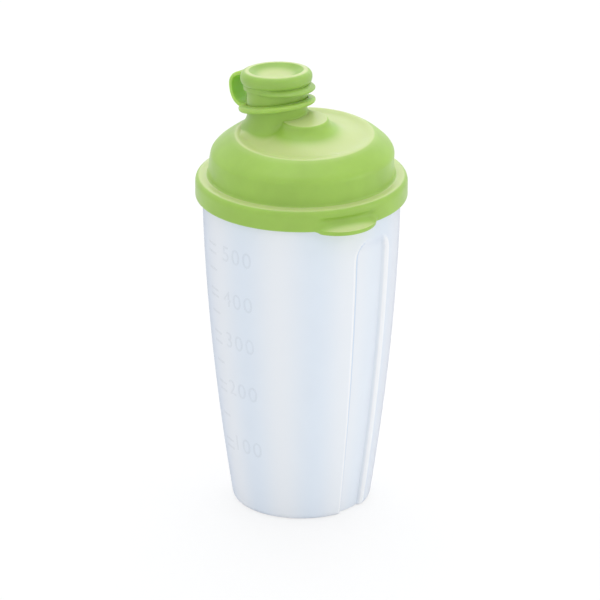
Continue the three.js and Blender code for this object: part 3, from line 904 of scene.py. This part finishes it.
class SHAKER_OT_spout_cap(bpy.types.Operator):
    """Models the spout cap with its dished top and lifting edge"""
    bl_idname = "shaker.spout_cap"
    bl_label = "Spout cap"

    def execute(self, context):
        settings = context.scene.shaker
        spout = settings.spout
        finish = settings.finish
        piece = spin_outline("cap_body", self.outline(spout), 180)
        self.pull_lifting_edge(piece, spout)
        settle(piece, spout_place(spout, spout.tether_turn))
        soften(piece, 40)
        material = satin_plastic("soft_cap_plastic", finish.cap, finish.painted_sheen, 0.34, slope=27)
        finish_piece(piece, material, "spout_cap", "soft_green_plastic", "spout_cap")
        return {"FINISHED"}

    def outline(self, spout):
        """Section of the cap: hollow, rim, skirt and plug."""
        rim = spout.cap
        low = spout.cap_bottom
        top = low + spout.cap_height
        dish = top - spout.cap_dish
        base = spout.skirt_bottom
        skirt = spout.skirt
        edge_top = base + spout.lift_edge
        seat = spout.neck_top + 0.35 * MM
        plug = spout.bore - 0.35 * MM
        brow = (rim * 0.73, top - 0.4 * MM)
        line = [(0, dish), (rim * 0.06, dish)]
        line += curve(line[-1], (rim * 0.4, dish), (rim * 0.6, top - 1.9 * MM), brow, 20)
        line += bow(line[-1], (rim * 0.76, top), (rim * 0.8, top), 6)
        line += curve(line[-1], (rim * 0.9, top), (rim, top - 1.1 * MM), (rim, top - 2.9 * MM), 12)
        line += curve(line[-1], (rim, low + 1.2 * MM), (rim - 0.4 * MM, low + 0.2 * MM), (skirt, low), 10)
        line += [(skirt, low - 0.1 * MM), (skirt + 0.02 * MM, edge_top)]
        line += [(skirt + 0.03 * MM, edge_top - 0.3 * MM)]
        line += [(skirt + 0.03 * MM, base + 0.3 * MM), (skirt + 0.02 * MM, base), (skirt - 0.9 * MM, base)]
        line += [(skirt - 0.9 * MM, seat), (plug, seat), (plug - 0.65 * MM, seat - 2 * MM)]
        return line + [
            (plug - 1.85 * MM, seat - 2 * MM), (plug - 1.65 * MM, seat + 0.3 * MM), (0, seat + 0.3 * MM)]

    def pull_lifting_edge(self, piece, spout):
        """Pulls the foot of the skirt out into the sloping lifting edge."""
        base = spout.skirt_bottom
        skirt = spout.skirt
        edge_top = base + spout.lift_edge
        for vertex in piece.data.vertices:
            place = vertex.co
            radius = math.hypot(place.x, place.y)
            if place.z > edge_top + 0.1 * MM or radius < skirt + 0.01 * MM:
                continue
            off = math.atan2(place.x, -place.y)
            chord = skirt ** 2 - (spout.lift * math.sin(off)) ** 2
            reach = max(spout.lift * math.cos(off) + math.sqrt(chord) - skirt, 0)
            trim = 0.25 * MM if place.z > edge_top - 0.1 * MM or place.z < base + 0.1 * MM else 0
            stretch = (radius + max(reach - trim, 0)) / radius
            place.x *= stretch
            place.y *= stretch
            place.z -= reach * 0.07


class SHAKER_OT_stage(bpy.types.Operator):
    """Sets up the floor, the light and the camera"""
    bl_idname = "shaker.stage"
    bl_label = "Stage"

    LAMPS = (
        ("back_light", (0.9, 0.7, 1.1), 1.6, 4.5),
        ("top_light", (0.2, 0.2, 1.3), 0.9, 2.5),
        ("side_light", (0.65, -1.24, 0.5), 0.8, 1.8),
    )

    def execute(self, context):
        scene = context.scene
        scene.view_settings.view_transform = "Standard"
        self.floor(scene.shaker.finish.floor)
        self.world(scene)
        for name, place, size, power in self.LAMPS:
            self.lamp(name, place, size, power)
        self.camera(scene)
        return {"FINISHED"}

    def floor(self, tint):
        """Pale floor that shows nearly white and keeps a soft shadow."""
        bpy.ops.object.select_all(action="DESELECT")
        bpy.ops.mesh.primitive_plane_add(size=12, location=(0, 0, -0.0002))
        plane = bpy.context.object
        plane.name = "floor"
        material = bpy.data.materials.new("pale_floor")
        material.use_nodes = True
        nodes = material.node_tree.nodes
        links = material.node_tree.links
        nodes.clear()
        out = nodes.new("ShaderNodeOutputMaterial")
        seen = nodes.new("ShaderNodeAddShader")
        glow = nodes.new("ShaderNodeEmission")
        glow.inputs["Strength"].default_value = 0.72
        pale = nodes.new("ShaderNodeBsdfDiffuse")
        pale.inputs["Color"].default_value = (0.26, 0.26, 0.26, 1)
        links.new(glow.outputs[0], seen.inputs[0])
        links.new(pale.outputs[0], seen.inputs[1])
        plain = nodes.new("ShaderNodeBsdfDiffuse")
        plain.inputs["Color"].default_value = (*tint, 1)
        mix = nodes.new("ShaderNodeMixShader")
        links.new(self.seen_directly(nodes, links), mix.inputs[0])
        links.new(plain.outputs[0], mix.inputs[1])
        links.new(seen.outputs[0], mix.inputs[2])
        links.new(mix.outputs[0], out.inputs[0])
        plane.data.materials.append(material)

    def seen_directly(self, nodes, links):
        """One for rays that come from the camera, a reflection or through the cup."""
        path = nodes.new("ShaderNodeLightPath")
        first = nodes.new("ShaderNodeMath")
        first.operation = "MAXIMUM"
        links.new(path.outputs["Is Camera Ray"], first.inputs[0])
        links.new(path.outputs["Is Glossy Ray"], first.inputs[1])
        second = nodes.new("ShaderNodeMath")
        second.operation = "MAXIMUM"
        links.new(first.outputs[0], second.inputs[0])
        links.new(path.outputs["Is Transmission Ray"], second.inputs[1])
        return second.outputs[0]

    def world(self, scene):
        """White surroundings that light the object softly."""
        world = bpy.data.worlds.new("white_room")
        scene.world = world
        world.use_nodes = True
        nodes = world.node_tree.nodes
        links = world.node_tree.links
        nodes.clear()
        out = nodes.new("ShaderNodeOutputWorld")
        soft = nodes.new("ShaderNodeBackground")
        soft.inputs["Color"].default_value = (0.96, 0.98, 1, 1)
        soft.inputs["Strength"].default_value = 0.95
        white = nodes.new("ShaderNodeBackground")
        white.inputs["Color"].default_value = (1, 1, 1, 1)
        mix = nodes.new("ShaderNodeMixShader")
        links.new(self.seen_directly(nodes, links), mix.inputs[0])
        links.new(soft.outputs[0], mix.inputs[1])
        links.new(white.outputs[0], mix.inputs[2])
        links.new(mix.outputs[0], out.inputs[0])

    def lamp(self, name, place, size, power):
        """Soft square light that faces the cup."""
        light = bpy.data.lights.new(name, "AREA")
        light.size = size
        light.energy = power
        lamp = bpy.data.objects.new(name, light)
        bpy.context.scene.collection.objects.link(lamp)
        lamp.location = place
        aim = Vector((0, 0, 0.1)) - lamp.location
        lamp.rotation_euler = aim.to_track_quat("-Z", "Y").to_euler()

    def camera(self, scene):
        """Camera at the photograph's angle."""
        azimuth, elevation = math.radians(-47.5), math.radians(22.3)
        distance, width = 2.5, 0.261
        front = Vector((math.sin(azimuth), -math.cos(azimuth), 0))
        right = Vector((math.cos(azimuth), math.sin(azimuth), 0))
        back = front * math.cos(elevation) + Vector((0, 0, math.sin(elevation)))
        up = back.cross(right)
        aim = Vector((0, 0, 0.095)) - right * 0.65 * MM - up * 3.3 * MM
        data = bpy.data.cameras.new("camera")
        data.sensor_width = 36
        data.lens = 36 * distance / width
        camera = bpy.data.objects.new("camera", data)
        scene.collection.objects.link(camera)
        camera.location = aim + back * distance
        camera.rotation_euler = (-back).to_track_quat("-Z", "Y").to_euler()
        scene.camera = camera


class SHAKER_PT_panel(bpy.types.Panel):
    """Lists the pieces of the shaker cup"""
    bl_idname = "SHAKER_PT_panel"
    bl_label = "Shaker Cup"
    bl_space_type = "VIEW_3D"
    bl_region_type = "UI"
    bl_category = "Shaker"

    def draw(self, context):
        for operator in OPERATORS:
            self.layout.operator(operator.bl_idname)


GROUPS = (CupSizes, LidSizes, SpoutSizes, SieveSizes, Finishes, ShakerSettings)
OPERATORS = (
    SHAKER_OT_cup, SHAKER_OT_scale, SHAKER_OT_lid, SHAKER_OT_sieve,
    SHAKER_OT_tether, SHAKER_OT_spout_cap, SHAKER_OT_stage,
)


def register():
    """Registers the settings, the operators and the panel."""
    for group in GROUPS:
        bpy.utils.register_class(group)
    bpy.types.Scene.shaker = bpy.props.PointerProperty(type=ShakerSettings)
    for operator in OPERATORS:
        bpy.utils.register_class(operator)
    bpy.utils.register_class(SHAKER_PT_panel)


def unregister():
    """Removes the panel, the operators and the settings."""
    bpy.utils.unregister_class(SHAKER_PT_panel)
    for operator in reversed(OPERATORS):
        bpy.utils.unregister_class(operator)
    del bpy.types.Scene.shaker
    for group in reversed(GROUPS):
        bpy.utils.unregister_class(group)


def main():
    """Models the shaker cup piece by piece."""
    register()
    bpy.ops.shaker.cup()
    bpy.ops.shaker.scale()
    bpy.ops.shaker.lid()
    bpy.ops.shaker.sieve()
    bpy.ops.shaker.tether()
    bpy.ops.shaker.spout_cap()
    bpy.ops.shaker.stage()


if __name__ == "__main__":
    main()
